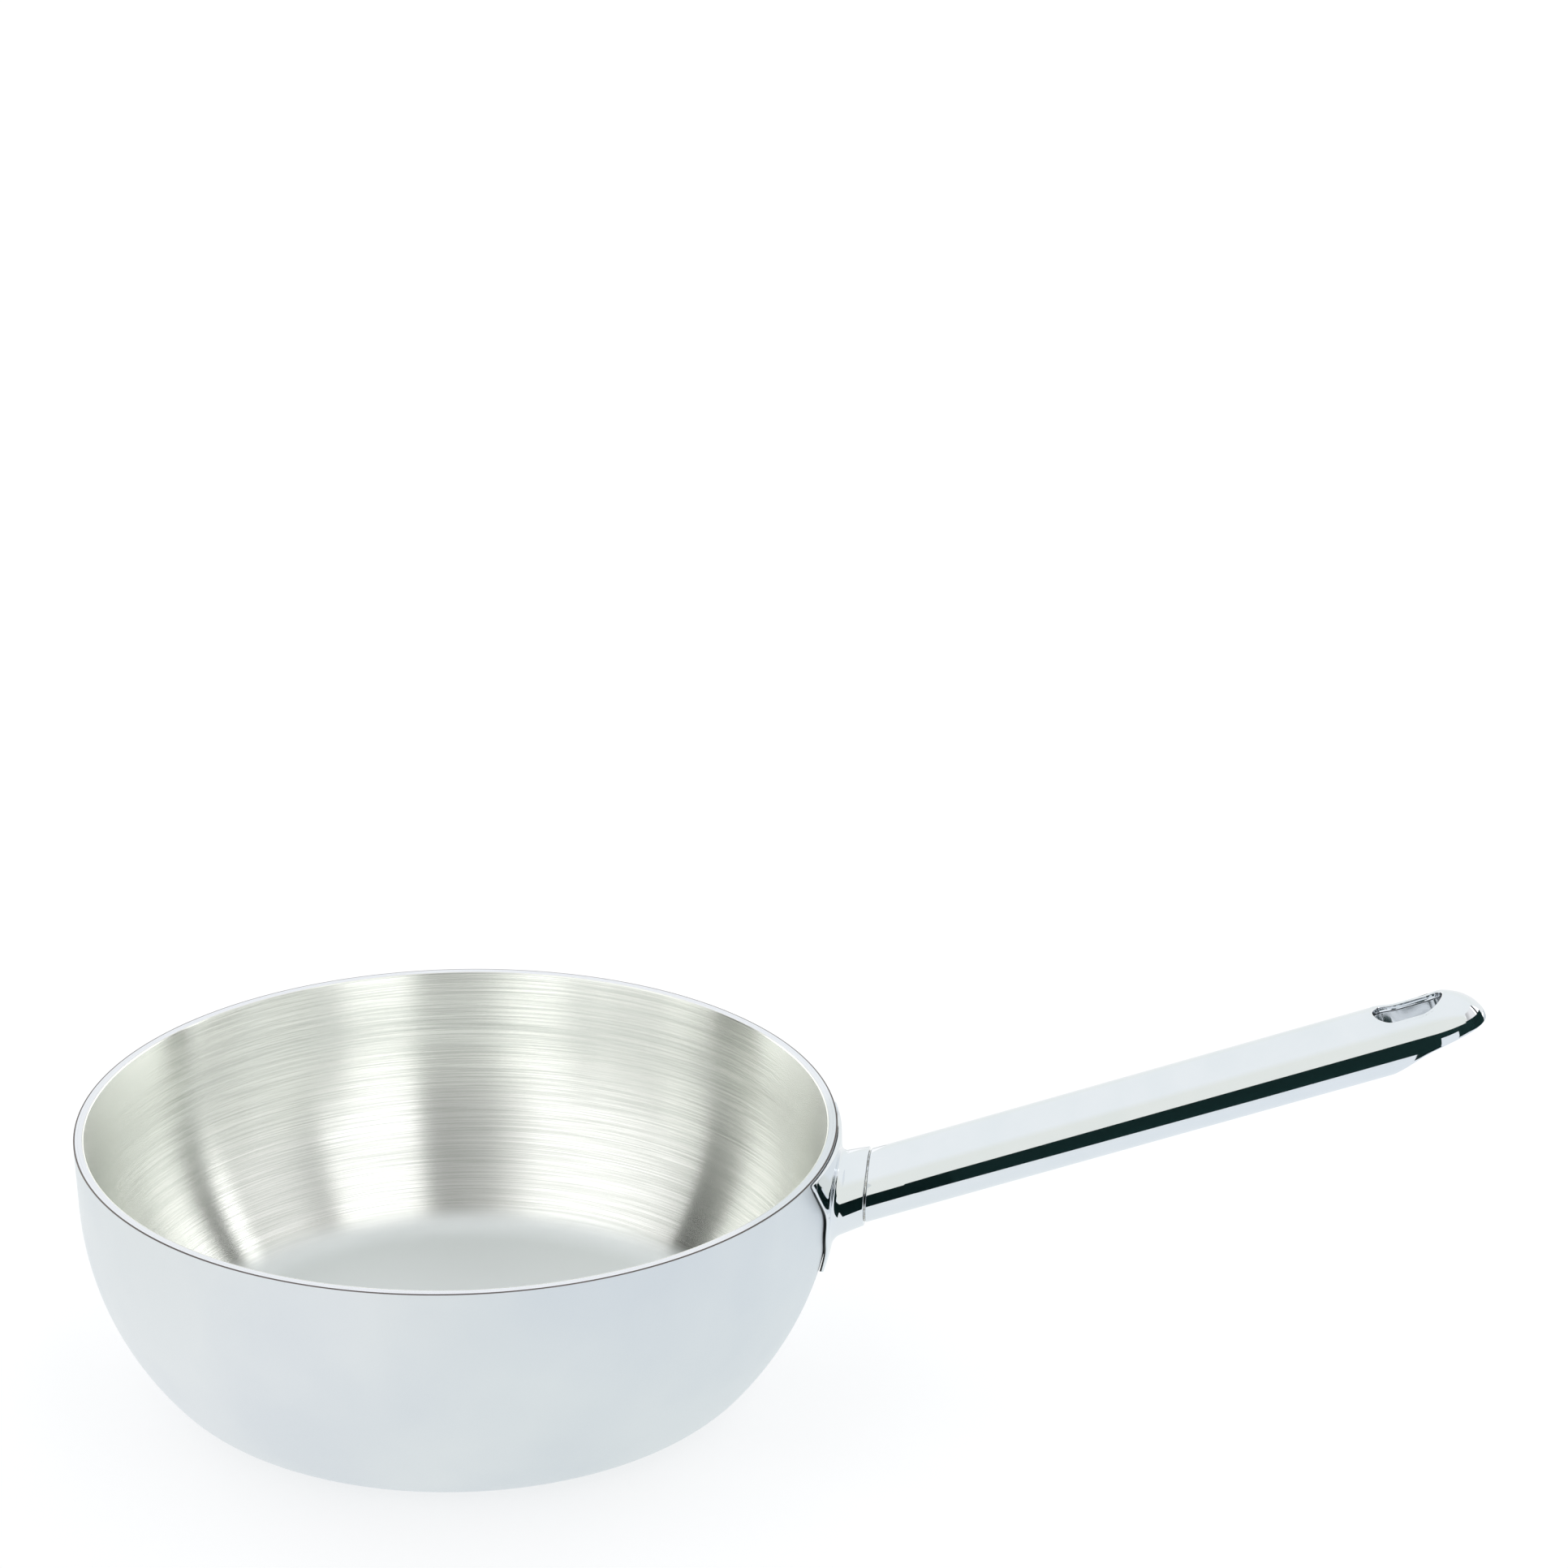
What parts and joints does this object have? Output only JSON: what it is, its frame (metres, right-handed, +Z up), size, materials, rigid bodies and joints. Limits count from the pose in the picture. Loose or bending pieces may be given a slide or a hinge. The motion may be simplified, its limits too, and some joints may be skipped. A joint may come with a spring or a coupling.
{
  "type": "saute pan",
  "caption": "Round clad steel saute pan with curved sides and one long polished tube handle that has a hanging hole and a welded shield foot.",
  "frame": {"origin": "middle of the flat base, on the surface that the pan stands on", "axes": "+Z up, +X from the bowl along the handle, +Y to the left of the handle"},
  "size_m": [0.4514, 0.2466, 0.1493],
  "materials": {
    "satin_skin": "fine satin",
    "core_metal": "ground",
    "brushed_liner": "brushed round the bowl",
    "polished_steel": "mirror polished",
    "weld_metal": "as welded"
  },
  "bodies": {
    "root": {"outer_skin": "satin_skin", "aluminium_core": "core_metal", "cooking_liner": "brushed_liner", "handle_foot": "polished_steel", "foot_weld_centre": "weld_metal", "foot_weld_tail": "weld_metal", "foot_weld_left": "weld_metal", "foot_weld_right": "weld_metal", "tube_seam_weld": "weld_metal", "handle_tube": "polished_steel", "hanging_sleeve": "polished_steel"}
  },
  "joints": []
}
